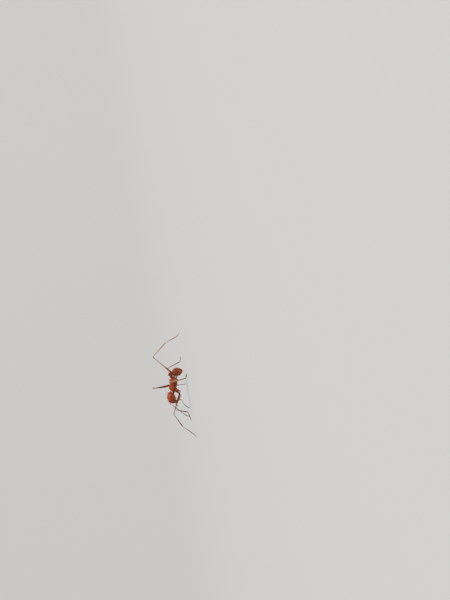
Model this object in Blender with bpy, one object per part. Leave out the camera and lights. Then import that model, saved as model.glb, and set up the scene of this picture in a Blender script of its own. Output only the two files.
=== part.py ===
"""Leafcutter ant, a large worker, as a life-size still model standing on its six feet.

Lengths below are millimetres and angles degrees; solids are written in metres. A place on the
ant is given as (forward, left, up), with up measured from the floor under its feet. The ant
looks along -Y, its left side is +X and the floor is z = 0.
"""
import bpy
import bmesh
import numpy as np
from math import radians
from mathutils import Matrix, Vector

MM = 0.001
GAP = 0.03                       # clear space between neighbouring plates
STANCE_CENTRE = (0.983, -0.252)  # forward, left: middle of the space the ant stands on
BEND_RINGS = 9                   # rings along a piece that bends

# Thorax: three fused plates along one axis
TRUNK_PLACE = (-0.15, 0.0, 3.08)
TRUNK_PITCH = 5.7                # head end raised
TRUNK_SIDES = 22
TRUNK_ROUNDNESS = 0.88           # 1 is an ellipse, less is boxier
TRUNK_PLATES = {                 # plate: rear end, front end, rings
    "propodeum": (-1.80, -0.32, 9),
    "mesothorax": (-0.32, 0.52, 6),
    "pronotum": (0.52, 2.06, 11),
}
TRUNK_PROFILE = (                # station, top, bottom, half width
    (-1.80, 0.14, -0.42, 0.28),  # petiole socket
    (-1.50, 0.48, -0.60, 0.46),
    (-1.05, 0.70, -0.76, 0.60),  # propodeum
    (-0.60, 0.68, -0.84, 0.62),
    (-0.28, 0.56, -0.84, 0.60),  # metanotal groove
    (0.12, 0.86, -0.84, 0.66),   # mesonotum
    (0.60, 0.92, -0.78, 0.79),
    (1.00, 0.74, -0.64, 0.86),   # pronotum shoulders
    (1.35, 0.40, -0.48, 0.60),
    (1.55, 0.16, -0.38, 0.32),   # collar
    (1.78, 0.12, -0.26, 0.19),   # neck
    (2.06, 0.11, -0.19, 0.15),
)
NECK_LEAN = 0.75                 # slant of the neck's end, which lies along the back of the head
NECK_FROM = (1.50, 0.50)         # station where the slant begins, and the run over which it grows

# Waist
PETIOLE_PATH = ((-2.07, 2.86), (-2.15, 3.02), (-2.24, 3.22), (-2.36, 3.33))
PETIOLE_HALF = ((0.17, 0.22), (0.26, 0.33), (0.35, 0.42), (0.20, 0.27))
POSTPETIOLE_PATH = ((-2.47, 3.38), (-2.60, 3.38), (-2.76, 3.31), (-2.88, 3.16), (-2.95, 3.00))
POSTPETIOLE_HALF = ((0.26, 0.30), (0.42, 0.52), (0.48, 0.62), (0.44, 0.58), (0.34, 0.44))
PETIOLE_SIDES = 14
PETIOLE_RINGS = 7
POSTPETIOLE_SIDES = 16
POSTPETIOLE_RINGS = 8

# Gaster: an egg that hangs from the waist
GASTER_TOP = (-3.02, 0.0, 2.98)
GASTER_TIP = (-3.20, 0.0, 0.42)
GASTER_HALF = (0.98, 1.10)       # fore-and-aft, side to side
GASTER_PARTING = 0.60            # share of the length where the first plate ends
GASTER_SIDES = 24
GASTER_SHIFT = 0.90              # under 1, the egg is widest towards the waist
GASTER_FULLNESS = 0.62           # 1 is a slim spindle, less is blunter

# Head
HEAD_PLACE = (2.72, 0.05, 3.74)
HEAD_TURN = {"yaw": 6.0, "pitch": 11.0, "roll": 8.0}
HEAD_HALF = (1.36, 1.45, 1.08)   # length, width, height
HEAD_RINGS = 19
HEAD_SIDES = 30
HEAD_ROUNDNESS = 0.84            # 1 is an ellipsoid, less has fuller ends
HEAD_NOTCH = (0.36, 0.46)        # cleft between the rear lobes: depth, half width
REAR_FLARE = 0.06                # share added to the width behind
MOUTH_TAPER = 0.20               # share taken from the width in front
FACE_TAPER = 0.10                # share taken from the height in front
MOUTH_DROP = 0.10                # how far the mouth hangs under the head's axis
THROAT = (0.80, 0.12)            # flatness of the underside, and how much flatter behind
LOBE_AT = (0.62, 0.40)           # frontal lobes over the feeler sockets: forward, left
LOBE_SPREAD = (0.34, 0.17)
LOBE_RISE = 0.13

# Eyes
EYE_AT = (72.0, 12.0)            # angle back from the mouth, angle up from the side
EYE_HALF = (0.19, 0.15, 0.13)    # along the head, across, depth
EYE_SIDES = 14
EYE_RINGS = (0, 22, 44, 66)      # height of each ring on the dome, as an angle

# Jaws: places on the head's own axes (forward, left), nearly closed
JAW_HINGE = (1.17, 0.74)
JAW_BOW = (2.05, 0.86)           # pulls the outer edge out
JAW_POINT = (2.50, 0.06)
JAW_HEEL = (1.39, 0.22)          # start of the toothed edge
JAW_BITE = (2.44, 0.00)          # end of the toothed edge
JAW_SPREAD = 3.0
JAW_TEETH = 7
TOOTH = (0.02, -0.10)            # forward, left reach of a full tooth
JAW_THICK = (0.30, 0.16)         # at the hinge, at the point
JAW_HANG = (-0.34, -0.54)        # height of the blade's middle at the hinge, at the point
EDGE_SHARE = 0.6                 # thickness of the toothed edge as a share of the outer one

# Antennae
FEELER_RADIUS = 0.25
ANTENNAE = {                     # root on the head, elbow, middle and tip of the lash
    "left": ((3.86, 0.70, 4.44), (4.50, 2.60, 1.84), (6.20, 3.25, 1.32), (7.30, 4.00, 0.40)),
    "right": ((3.78, -0.62, 4.46), (4.50, -2.46, 2.84), (5.55, -3.20, 1.70), (6.00, -4.10, 0.60)),
}

# Legs: lengths per pair, then the place of each leg
COXA_RADII = ((0.0, 0.30), (0.5, 0.312), (1.0, 0.26))
LEG_LENGTHS = {                  # trochanter with femur, tibia, tarsus
    "front": (5.7, 3.43, 3.73),
    "middle": (5.5, 3.9, 4.2),
    "hind": (7.05, 4.28, 3.57),
}
LEG_PLACES = {                   # hip, coxa end, femur heading and lift, foot, arch of the ankle
    "front_left": ((1.02, 0.46, 2.60), (1.95, 1.06, 1.75), 4.7, 23.1, (13.2, 1.2), 1),
    "middle_left": ((-0.42, 0.58, 2.34), (-0.85, 1.15, 1.90), 62.5, 21.5, (2.5, 11.4), -1),
    "hind_left": ((-1.17, 0.52, 2.40), (-1.50, 1.15, 1.95), 136.9, 40.1, (-10.1, 4.85), 1),
    "front_right": ((1.02, -0.46, 2.60), (1.95, -1.00, 1.75), -79.1, 16.8, (4.0, -11.9), -1),
    "middle_right": ((-0.46, -0.59, 2.35), (-0.80, -1.15, 2.05), -93.4, 84.5, (-1.5, -3.6), 1),
    "hind_right": ((-1.12, -0.52, 2.36), (-1.45, -1.15, 1.95), -140.2, 12.3, (-11.1, -10.5), -1),
}
FEMUR_RADII = ((0.0, 0.25), (0.30, 0.31), (0.70, 0.27), (1.0, 0.25))
TIBIA_RADII = ((0.0, 0.25), (0.60, 0.28), (1.0, 0.25))
TARSUS_RADIUS = 0.25
TOE_RUN = 0.7                    # how far back from the toe the tarsus is drawn along the floor
FOOT_SINK = 0.04                 # how far the round foot is cut flat by the floor
LIMB_SIDES = 10
COXA_RINGS = 3
FEMUR_RINGS = 6
TIBIA_RINGS = 5
SCAPE_RINGS = 4
MITRE_ROOM = 0.08                # least space between a slanted end and the next ring
KNUCKLE = 0.36                   # furthest that the corner of a bent joint stands out

# Spines in pairs: root and tip of the left one, on the axes of the plate that carries it
TRUNK_SPINES = {
    "propodeum": ((-1.10, 0.28, 0.55), (-1.52, 0.50, 1.12)),
    "mesothorax": ((0.16, 0.28, 0.76), (0.14, 0.42, 1.18)),
    "pronotum": ((0.98, 0.62, 0.42), (1.12, 0.98, 0.86)),
}
HEAD_SPINES = (
    ((-1.00, 0.92, 0.38), (-1.42, 1.16, 0.72)),  # occipital
    ((-0.10, 0.70, 0.86), (-0.20, 0.84, 1.20)),  # on the crown
)
SPINE_RINGS = ((0.22, 0.55), (0.62, 0.26))   # share of the way to the tip, share of the root's width

# Finishes: colour and roughness
RUST = ((0.36, 0.085, 0.03, 1.0), 0.45)
DARK_RUST = ((0.24, 0.05, 0.02, 1.0), 0.35)
LEG_BROWN = ((0.33, 0.12, 0.045, 1.0), 0.45)
JAW_BLACK = ((0.06, 0.03, 0.025, 1.0), 0.30)
EYE_BLACK = ((0.012, 0.010, 0.010, 1.0), 0.15)


def clear_scene():
    for thing in list(bpy.data.objects):
        bpy.data.objects.remove(thing, do_unlink=True)


def world(points):
    """Turns (forward, left, up) places in mm into (x, y, z) in the model's frame, in mm."""
    p = np.atleast_2d(np.asarray(points, float))
    ahead, left = STANCE_CENTRE
    return np.stack([p[:, 1] - left, ahead - p[:, 0], p[:, 2]], axis=1)


def curve_through(table, where):
    """Smooth values between the rows of a table whose first column is the station."""
    rows = np.asarray(table, float)
    at, values = rows[:, 0], rows[:, 1:]
    slopes = np.gradient(values, at, axis=0)
    where = np.clip(where, at[0], at[-1])
    k = np.clip(np.searchsorted(at, where, side="right") - 1, 0, len(at) - 2)
    span = at[k + 1] - at[k]
    t = ((where - at[k]) / span)[:, None]
    span = span[:, None]
    start = (1 + 2 * t) * (1 - t) ** 2 * values[k] + t * (1 - t) ** 2 * span * slopes[k]
    end = t * t * (3 - 2 * t) * values[k + 1] + t * t * (t - 1) * span * slopes[k + 1]
    return start + end


def smooth_step(x):
    x = np.clip(x, 0.0, 1.0)
    return x * x * (3 - 2 * x)


def unit(v):
    v = np.asarray(v, float)
    return v / np.linalg.norm(v)


def loft(rings, start=None, end=None):
    """A closed skin through rings of equal size, with a flat or a pointed end each way."""
    bm = bmesh.new()
    loops = [[bm.verts.new(p) for p in ring] for ring in rings]
    count = len(loops[0])
    for low, high in zip(loops, loops[1:]):
        for i in range(count):
            j = (i + 1) % count
            bm.faces.new((low[i], low[j], high[j], high[i]))
    for loop, point in ((loops[0], start), (loops[-1], end)):
        if point is None:
            bm.faces.new(loop)
            continue
        apex = bm.verts.new(point)
        for i in range(count):
            bm.faces.new((loop[i], loop[(i + 1) % count], apex))
    bmesh.ops.recalc_face_normals(bm, faces=bm.faces)
    return bm


def grow_spine(bm, root, tip):
    """Draws the skin round the point nearest the root out into a slender spine."""
    root, tip = Vector(root), Vector(tip)
    nearest = min(bm.verts, key=lambda v: (v.co - root).length)
    outline = {v for face in nearest.link_faces for v in face.verts} - {nearest}
    bmesh.ops.dissolve_verts(bm, verts=[nearest])
    face = next(f for f in bm.faces if set(f.verts) == outline)
    loop = list(face.verts)
    middle = face.calc_center_median()
    bmesh.ops.delete(bm, geom=[face], context="FACES_ONLY")
    lower = loop
    for reach, width in SPINE_RINGS:
        heart = middle.lerp(tip, reach)
        upper = [bm.verts.new(heart + (v.co - middle) * width) for v in loop]
        for i in range(len(loop)):
            j = (i + 1) % len(loop)
            bm.faces.new((lower[i], lower[j], upper[j], upper[i]))
        lower = upper
    apex = bm.verts.new(tip)
    for i in range(len(loop)):
        bm.faces.new((lower[i], lower[(i + 1) % len(loop)], apex))
    bmesh.ops.recalc_face_normals(bm, faces=bm.faces)


def grow_pair(bm, place, root, tip):
    """Grows a spine on the left and its mirror image on the right, from places on own axes."""
    for side in (1, -1):
        mirror = np.array([1, side, 1])
        grow_spine(bm, place(root * mirror)[0], place(tip * mirror)[0])


def finish(name, bm, look, sharp=42.0):
    """Makes the node's object from a mesh in mm, with its own material."""
    colour, roughness = look
    bmesh.ops.scale(bm, vec=(MM, MM, MM), verts=bm.verts)
    mesh = bpy.data.meshes.new(name)
    bm.to_mesh(mesh)
    bm.free()
    mesh.shade_smooth()
    mesh.set_sharp_from_angle(angle=radians(sharp))
    material = bpy.data.materials.new(name)
    material.use_nodes = True
    shader = material.node_tree.nodes["Principled BSDF"]
    shader.inputs["Base Color"].default_value = colour
    shader.inputs["Roughness"].default_value = roughness
    shader.inputs["Metallic"].default_value = 0.0
    mesh.materials.append(material)
    thing = bpy.data.objects.new(name, mesh)
    bpy.context.scene.collection.objects.link(thing)
    return thing


def turned(points, place, yaw=0.0, pitch=0.0, roll=0.0):
    """Places of a plate's own axes, turned to the left, nose down and over, in the ant's."""
    turn = (Matrix.Rotation(radians(yaw), 3, "Z") @ Matrix.Rotation(radians(pitch), 3, "Y")
            @ Matrix.Rotation(radians(roll), 3, "X"))
    return np.asarray(points, float) @ np.array(turn).T + np.asarray(place, float)


def trunk_place(points):
    return world(turned(points, TRUNK_PLACE, pitch=-TRUNK_PITCH))


def trunk_ring(station):
    top, bottom, half = curve_through(TRUNK_PROFILE, np.array([station]))[0]
    around = np.linspace(0, 2 * np.pi, TRUNK_SIDES, endpoint=False)
    side, rise = np.cos(around), np.sin(around)
    left = half * np.sign(side) * np.abs(side) ** TRUNK_ROUNDNESS
    up = np.where(rise > 0, top, -bottom) * np.sign(rise) * np.abs(rise) ** TRUNK_ROUNDNESS
    begin, run = NECK_FROM
    forward = station - NECK_LEAN * up * smooth_step((station - begin) / run)
    return trunk_place(np.stack([forward, left, up], axis=1))


def make_trunk():
    for name, (rear, front, count) in TRUNK_PLATES.items():
        stations = np.linspace(rear + GAP / 2, front - GAP / 2, count)
        bm = loft([trunk_ring(s) for s in stations])
        grow_pair(bm, trunk_place, *TRUNK_SPINES[name])
        finish(name, bm, RUST)


def bent_barrel(path, halves, sides, rings):
    """Rings along a path in the ant's middle plane; halves are thickness and half width."""
    keys = np.linspace(0, 1, len(path))
    table = np.column_stack([keys, path, halves])
    at = np.linspace(0, 1, rings)
    values = curve_through(table, at)
    middle, half = values[:, :2], values[:, 2:]
    along = np.gradient(middle, axis=0)
    along /= np.linalg.norm(along, axis=1)[:, None]
    around = np.linspace(0, 2 * np.pi, sides, endpoint=False)
    out = []
    for (f, u), (df, du), (thick, wide) in zip(middle, along, half):
        lift = thick * np.sin(around)
        out.append(world(np.stack([f - du * lift, wide * np.cos(around), u + df * lift], axis=1)))
    return out


def make_waist():
    petiole = bent_barrel(PETIOLE_PATH, PETIOLE_HALF, PETIOLE_SIDES, PETIOLE_RINGS)
    finish("petiole", loft(petiole), RUST)
    postpetiole = bent_barrel(POSTPETIOLE_PATH, POSTPETIOLE_HALF,
                              POSTPETIOLE_SIDES, POSTPETIOLE_RINGS)
    finish("postpetiole", loft(postpetiole), RUST)


def gaster_ring(share):
    """One ring of the egg; the share runs from the waist, 0, to the tip, 1."""
    top, tip = np.array(GASTER_TOP), np.array(GASTER_TIP)
    axis = unit(tip - top)
    across = np.array([-axis[2], 0.0, axis[0]])
    size = np.sin(np.pi * share ** GASTER_SHIFT) ** GASTER_FULLNESS
    around = np.linspace(0, 2 * np.pi, GASTER_SIDES, endpoint=False)
    fore, side = GASTER_HALF
    ring = (top + (tip - top) * share + np.outer(fore * size * np.sin(around), across)
            + np.outer(side * size * np.cos(around), (0, 1, 0)))
    return world(ring)


def make_gaster():
    length = np.linalg.norm(np.subtract(GASTER_TIP, GASTER_TOP))
    half_gap = GAP / 2 / length
    front = np.linspace(0, GASTER_PARTING - half_gap, BEND_RINGS)[1:]
    rear = np.linspace(GASTER_PARTING + half_gap, 1, BEND_RINGS)[:-1]
    top, tip = world(GASTER_TOP)[0], world(GASTER_TIP)[0]
    finish("gaster_front", loft([gaster_ring(s) for s in front], top, None), DARK_RUST)
    finish("gaster_rear", loft([gaster_ring(s) for s in rear], None, tip), DARK_RUST)


def head_shape(back, around):
    """Skin of the head on its own axes, from angles in radians: back from the mouth, and
    around from the left side over the face. Heart shaped, with frontal lobes on the face."""
    ahead, ring = np.cos(back), np.sin(back) ** HEAD_ROUNDNESS
    side, rise = np.cos(around), np.sin(around)
    length, width, height = HEAD_HALF
    rear = smooth_step(-ahead)
    front = smooth_step(ahead)
    left = width * ring * side * (1 + REAR_FLARE * rear - MOUTH_TAPER * front)
    up = height * ring * rise * (1 - FACE_TAPER * front)
    up = np.where(rise < 0, up * (THROAT[0] - THROAT[1] * rear), up)
    notch_depth, notch_width = HEAD_NOTCH
    forward = length * ahead + notch_depth * rear * np.exp(-(left / notch_width) ** 2)
    lobes = np.exp(-((forward - LOBE_AT[0]) / LOBE_SPREAD[0]) ** 2
                   - ((np.abs(left) - LOBE_AT[1]) / LOBE_SPREAD[1]) ** 2)
    up = up + LOBE_RISE * lobes * (rise > 0) - MOUTH_DROP * front * front
    return np.stack([forward, left, up], axis=-1)


def head_place(points):
    return world(turned(points, HEAD_PLACE, **HEAD_TURN))


def make_head():
    around = np.linspace(0, 2 * np.pi, HEAD_SIDES, endpoint=False)
    backs = np.linspace(0, np.pi, HEAD_RINGS)
    rings = [head_place(head_shape(np.full_like(around, b), around)) for b in backs[1:-1]]
    poles = [head_place(head_shape(np.array([b]), np.array([np.pi / 2])))[0] for b in (0, np.pi)]
    bm = loft(rings, *poles)
    for root, tip in HEAD_SPINES:
        grow_pair(bm, head_place, root, tip)
    finish("head", bm, RUST)


def make_eye(side):
    """A low dome of glass-like facets that sits on the side of the head."""
    back, up = np.radians(EYE_AT)
    step = 0.02
    angles = np.array([[back, up], [back + step, up], [back, up + step]])
    angles[:, 1] = np.where(side > 0, angles[:, 1], np.pi - angles[:, 1])
    here, further, higher = head_place(head_shape(angles[:, 0], angles[:, 1]))
    along = unit(further - here)
    out = unit(np.cross(along, higher - here))
    if np.dot(out, here - head_place((0, 0, 0))[0]) < 0:
        out = -out
    across = np.cross(out, along)
    length, width, depth = EYE_HALF
    around = np.linspace(0, 2 * np.pi, EYE_SIDES, endpoint=False)
    rings = []
    for lift in np.radians(EYE_RINGS):
        size, rise = np.cos(lift), np.sin(lift)
        rings.append(here + out * (GAP + depth * rise)
                     + np.outer(length * size * np.cos(around), along)
                     + np.outer(width * size * np.sin(around), across))
    name = "eye_left" if side > 0 else "eye_right"
    finish(name, loft(rings, None, here + out * (GAP + depth)), EYE_BLACK, sharp=60)


def make_jaw(side):
    """A blade with a bowed outer edge, and a toothed edge that faces the other jaw."""
    steps = 2 * JAW_TEETH + 3
    share = np.linspace(0, 1, steps)[:, None]
    hinge, bow, point, heel, bite = np.array([JAW_HINGE, JAW_BOW, JAW_POINT, JAW_HEEL, JAW_BITE])
    outer = (1 - share) ** 2 * hinge + 2 * share * (1 - share) * bow + share ** 2 * point
    crest = (np.arange(steps) % 2)[:, None] * (1 + share) / 2
    edge = heel * (1 - share) + bite * share + crest * np.array(TOOTH)
    turn = np.radians(JAW_SPREAD)
    spin = np.array([[np.cos(turn), -np.sin(turn)], [np.sin(turn), np.cos(turn)]])
    outer = (outer - hinge) @ spin.T + hinge
    edge = (edge - hinge) @ spin.T + hinge
    halves = (JAW_THICK[0] + (JAW_THICK[1] - JAW_THICK[0]) * share[:, 0]) / 2
    hangs = JAW_HANG[0] + (JAW_HANG[1] - JAW_HANG[0]) * share[:, 0] ** 2
    rings = []
    for (of, ol), (ef, el), half, hang in zip(outer, edge, halves, hangs):
        thin = half * EDGE_SHARE
        ring = [(of, ol, hang + half), (ef, el, hang + thin), (ef, el, hang - thin),
                (of, ol, hang - half)]
        rings.append(head_place(np.array(ring) * (1, side, 1)))
    name = "mandible_left" if side > 0 else "mandible_right"
    finish(name, loft(rings), JAW_BLACK, sharp=30)


def sweep(path, radii, cut_start=None, cut_end=None):
    """A round limb along a path. A cut is a plane (point, normal) that its end ring lies on.

    Where the joint folds sharply, that ring is drawn in, so that the knuckle is blunt.
    """
    path = np.asarray(path, float)
    along = np.gradient(path, axis=0)
    along /= np.linalg.norm(along, axis=1)[:, None]
    guide = np.array([0.0, 0.0, 1.0]) if abs(along[0][2]) < 0.9 else np.array([0.0, 1.0, 0.0])
    around = np.linspace(0, 2 * np.pi, LIMB_SIDES, endpoint=False)
    rings = []
    for place, way, radius in zip(path, along, radii):
        first = unit(guide - way * np.dot(guide, way))
        second = np.cross(way, first)
        guide = first
        rings.append(place + radius * (np.outer(np.cos(around), first)
                                       + np.outer(np.sin(around), second)))
    for index, way, cut in ((0, along[0], cut_start), (-1, along[-1], cut_end)):
        if cut is not None:
            point, normal = cut
            slide = (point - rings[index]) @ normal / np.dot(way, normal)
            spokes = rings[index] + np.outer(slide, way) - point
            reach = np.linalg.norm(spokes, axis=1)[:, None]
            rings[index] = point + spokes * np.minimum(1.0, KNUCKLE / reach)
    return rings


def straight_limb(start, end, radii, cut_start, cut_end, rings):
    """A limb between two joints, mitred on its cut planes so that it meets its neighbours."""
    length = np.linalg.norm(end - start)
    way = (end - start) / length

    def margin(cut):
        lean = min(abs(np.dot(way, cut[1])), 1.0)
        return radii[0][1] * np.sqrt(1 - lean ** 2) / lean + MITRE_ROOM

    first = 0.0 if cut_start is None else margin(cut_start)
    last = length if cut_end is None else length - margin(cut_end)
    stops = np.linspace(first, last, rings)
    if cut_start is not None:
        stops = np.insert(stops, 0, 0.0)
    if cut_end is not None:
        stops = np.append(stops, length)
    radius = curve_through(radii, stops / length)[:, 0]
    return sweep(start + np.outer(stops, way), radius, cut_start, cut_end)


def mitre(before, joint, after):
    """The plane that halves the angle at a joint, as one cut for each of the two pieces."""
    normal = unit(unit(after - joint) - unit(before - joint))
    return (joint - normal * GAP / 2, normal), (joint + normal * GAP / 2, normal)


def solve_ankle(knee, foot, tibia, tarsus, arch):
    """Places the ankle from the two lengths, above the line from knee to foot or below it."""
    line = foot - knee
    reach = np.linalg.norm(line)
    way = line / reach
    along = (reach ** 2 + tibia ** 2 - tarsus ** 2) / (2 * reach)
    off = np.sqrt(max(tibia ** 2 - along ** 2, 0.0))
    up = np.array([0.0, 0.0, 1.0])
    bend = unit(up - way * np.dot(up, way))
    return knee + way * along + bend * off * arch


def make_leg(name):
    pair = name.split("_")[0]
    hip, coxa_end, heading, lift, foot, arch = LEG_PLACES[name]
    femur_length, tibia_length, tarsus_length = LEG_LENGTHS[pair]
    heading, lift = radians(heading), radians(lift)
    hip, coxa_end = np.array(hip), np.array(coxa_end)
    way = np.array([np.cos(heading) * np.cos(lift), np.sin(heading) * np.cos(lift), np.sin(lift)])
    knee = coxa_end + femur_length * way
    sole = TARSUS_RADIUS - FOOT_SINK
    toe = np.array([foot[0], foot[1], sole])
    ankle = solve_ankle(knee, toe, tibia_length, tarsus_length, arch)
    hip, coxa_end, knee, ankle, toe = (world(p)[0] for p in (hip, coxa_end, knee, ankle, toe))
    coxa_cut, femur_cut = mitre(hip, coxa_end, knee)
    knee_cut, tibia_cut = mitre(coxa_end, knee, ankle)

    # The tarsus curves down from the ankle and ends flat on the floor
    outward = unit((toe - ankle) * (1, 1, 0))
    pull = toe - outward * TOE_RUN
    share = np.linspace(0, 1, BEND_RINGS)[:, None]
    curve = (1 - share) ** 2 * ankle + 2 * share * (1 - share) * pull + share ** 2 * toe
    ankle_cut, tarsus_cut = mitre(knee, ankle, curve[1])
    coxa = straight_limb(hip, coxa_end, COXA_RADII, None, coxa_cut, COXA_RINGS)
    femur = straight_limb(coxa_end, knee, FEMUR_RADII, femur_cut, knee_cut, FEMUR_RINGS)
    tibia = straight_limb(knee, ankle, TIBIA_RADII, tibia_cut, ankle_cut, TIBIA_RINGS)
    tarsus = sweep(curve, np.full(BEND_RINGS, TARSUS_RADIUS), tarsus_cut)
    for ring in tarsus:
        ring[:, 2] = np.maximum(ring[:, 2], 0.0)
    finish("coxa_" + name, loft(coxa), RUST)
    finish("femur_" + name, loft(femur), LEG_BROWN)
    finish("tibia_" + name, loft(tibia), LEG_BROWN)
    finish("tarsus_" + name, loft(tarsus), LEG_BROWN)


def make_antenna(side):
    root, elbow, middle, tip = (world(p)[0] for p in ANTENNAE[side])
    share = np.linspace(0, 1, BEND_RINGS)[:, None]
    pull = middle * 2 - (elbow + tip) / 2
    lash = (1 - share) ** 2 * elbow + 2 * share * (1 - share) * pull + share ** 2 * tip
    scape_cut, lash_cut = mitre(root, elbow, lash[1])
    even = ((0.0, FEELER_RADIUS), (1.0, FEELER_RADIUS))
    scape = straight_limb(root, elbow, even, None, scape_cut, SCAPE_RINGS)
    funiculus = sweep(lash, np.full(BEND_RINGS, FEELER_RADIUS), lash_cut)
    finish("scape_" + side, loft(scape), LEG_BROWN)
    finish("funiculus_" + side, loft(funiculus), LEG_BROWN)


clear_scene()
make_head()
for flank in (1, -1):
    make_eye(flank)
    make_jaw(flank)
for flank_name in ANTENNAE:
    make_antenna(flank_name)
make_trunk()
make_waist()
make_gaster()
for leg_name in LEG_PLACES:
    make_leg(leg_name)
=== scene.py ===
import math
import bpy
import numpy as np
from mathutils import Matrix, Vector


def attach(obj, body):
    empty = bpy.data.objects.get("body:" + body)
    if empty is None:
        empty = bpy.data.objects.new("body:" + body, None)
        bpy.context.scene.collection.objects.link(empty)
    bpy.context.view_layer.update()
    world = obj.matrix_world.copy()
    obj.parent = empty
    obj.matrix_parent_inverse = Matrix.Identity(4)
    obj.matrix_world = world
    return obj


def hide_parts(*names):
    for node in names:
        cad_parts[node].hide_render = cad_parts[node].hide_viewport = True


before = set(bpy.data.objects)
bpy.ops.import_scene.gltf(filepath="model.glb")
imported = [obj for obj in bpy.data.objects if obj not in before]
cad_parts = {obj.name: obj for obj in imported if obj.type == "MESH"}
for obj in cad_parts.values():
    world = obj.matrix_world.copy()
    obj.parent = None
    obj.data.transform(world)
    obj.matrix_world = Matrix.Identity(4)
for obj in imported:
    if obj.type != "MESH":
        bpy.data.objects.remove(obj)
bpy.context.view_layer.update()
print("frame loaded with", len(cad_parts), "nodes")

# Lengths are millimetres and angles degrees. A place on the ant is (forward, left, up), with up
# measured from the floor. Meshes are written in metres.
stance = {"ahead": 0.983, "left": -0.252, "metre": 0.001}
skyward = np.array([0.0, 0.0, 1.0])
scramble = np.array([374761393, 668265263, 1274126177])  # one large factor for each noise axis
grids = {}  # a node's name: its surface, for the hairs that grow on it


def toWorld(places):
    # forward becomes -y and left becomes x, from the middle of the space the ant stands on
    p = np.asarray(places, float)
    spots = [p[..., 1] - stance["left"], stance["ahead"] - p[..., 0], p[..., 2]]
    return np.stack(spots, axis=-1) * stance["metre"]


def aboveFloor(places):
    # lifts what would reach below the floor
    return np.concatenate([places[..., :2], np.maximum(places[..., 2:], 0.0)], axis=-1)


def unit(v):
    # the vector over its length
    v = np.asarray(v, float)
    return v / (np.linalg.norm(v, axis=-1, keepdims=True) + 1e-12)


def fullTurn(count):
    # evenly spaced angles all the way round
    return np.linspace(0, 2 * np.pi, count, endpoint=False)


def smooth(x):
    # 0 below 0, 1 above 1, and three squares less two cubes between
    x = np.clip(x, 0.0, 1.0)
    return x * x * (3 - 2 * x)


def bell(distance, width):
    # e to the minus square of the distance over the width
    return np.exp(-(distance / width) ** 2)


def mark(row, distance, along):
    # a ridge or groove: a bell across it, times a smooth rise after low and a fall before high
    height, width, low, high, lowRun, highRun = row
    ends = smooth((along - low) / lowRun) * smooth((high - along) / highRun)
    return height * bell(distance, width) * ends


def ramp(row, x):
    # the row's amount, reached smoothly from its start over its run
    amount, start, run = row
    return amount * smooth((x - start) / run)


def bump(row, x):
    # a bell of the row's amount, middle and half width
    amount, middle, width = row
    return amount * bell(x - middle, width)


def decay(row, x):
    # the row's amount, less with e to the minus x over its run
    return row[0] * np.exp(-x / row[1])


def throughRows(rows, where):
    # cubic pieces through the rows of a table, with slopes taken from each row's neighbours
    rows = np.asarray(rows, float)
    at, values = rows[:, 0], rows[:, 1:]
    slopes = np.gradient(values, at, axis=0)
    where = np.clip(where, at[0], at[-1])
    k = np.clip(np.searchsorted(at, where, side="right") - 1, 0, len(at) - 2)
    span = at[k + 1] - at[k]
    t = ((where - at[k]) / span)[..., None]
    span = span[..., None]
    start = (1 + 2 * t) * (1 - t) ** 2 * values[k] + t * (1 - t) ** 2 * span * slopes[k]
    end = t * t * (3 - 2 * t) * values[k + 1] + t * t * (t - 1) * span * slopes[k + 1]
    return start + end


def latticeNoise(points, row):
    # smooth noise of the row's height: a scrambled number at each corner of a lattice of the
    # row's cells, blended between the corners
    height, cell, seed = row
    q = np.asarray(points, float) / np.array(cell)
    base = np.floor(q).astype(np.int64)
    blend = smooth(q - base)
    total = np.zeros(q.shape[:-1])
    for corner in np.ndindex(2, 2, 2):
        h = (np.sum((base + np.array(corner)) * scramble, axis=-1) + seed * 974711) & 0xFFFFFFFF
        h = ((h ^ (h >> 13)) * 1103515245) & 0xFFFFFFFF
        value = ((h ^ (h >> 16)) & 0xFFFF) / 65535
        total = total + value * np.prod(np.where(np.array(corner) == 1, blend, 1 - blend), axis=-1)
    return 2 * height * (total - 0.5)


def turnMatrix(yaw=0.0, pitch=0.0, roll=0.0):
    # roll about the forward axis, then pitch about the left one, then yaw about the upright one
    turn = (Matrix.Rotation(math.radians(yaw), 3, "Z") @ Matrix.Rotation(math.radians(pitch), 3, "Y")
            @ Matrix.Rotation(math.radians(roll), 3, "X"))
    return np.array(turn)


def gridNormals(grid):
    # the cross product of the two directions of a grid, turned away from its axis
    around = np.roll(grid, -1, axis=1) - np.roll(grid, 1, axis=1)
    normal = unit(np.cross(around, np.gradient(grid, axis=0)))
    outward = grid - grid.mean(axis=1, keepdims=True)
    return normal * np.sign(np.sum(normal * outward))


def raised(grid, relief):
    # the surface moved along its normals by the relief
    return grid + gridNormals(grid) * relief[..., None]


def gridQuads(index):
    # a quad between each two neighbours of a ring of point numbers and those of the next ring
    after = np.roll(index, -1, axis=1)
    return np.stack([index[:-1], after[:-1], after[1:], index[1:]], axis=-1).reshape(-1, 4)


def fan(ring, middle):
    # triangles from a ring of point numbers to one point
    return np.stack([ring, np.roll(ring, -1), np.full(len(ring), middle)], axis=-1)


def facedOut(places, quads, fans, tones):
    # the faces of a shell, turned over where the volume that they hold comes out negative
    a, b, c, d = (places[quads[:, i]] for i in range(4))
    p, q, r = (places[fans[:, i]] for i in range(3))
    if np.sum(a * np.cross(b, c)) + np.sum(a * np.cross(c, d)) + np.sum(p * np.cross(q, r)) < 0:
        quads, fans = quads[:, ::-1], fans[:, ::-1]
    return {"places": places, "quads": quads, "fans": fans, "tones": tones}


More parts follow.
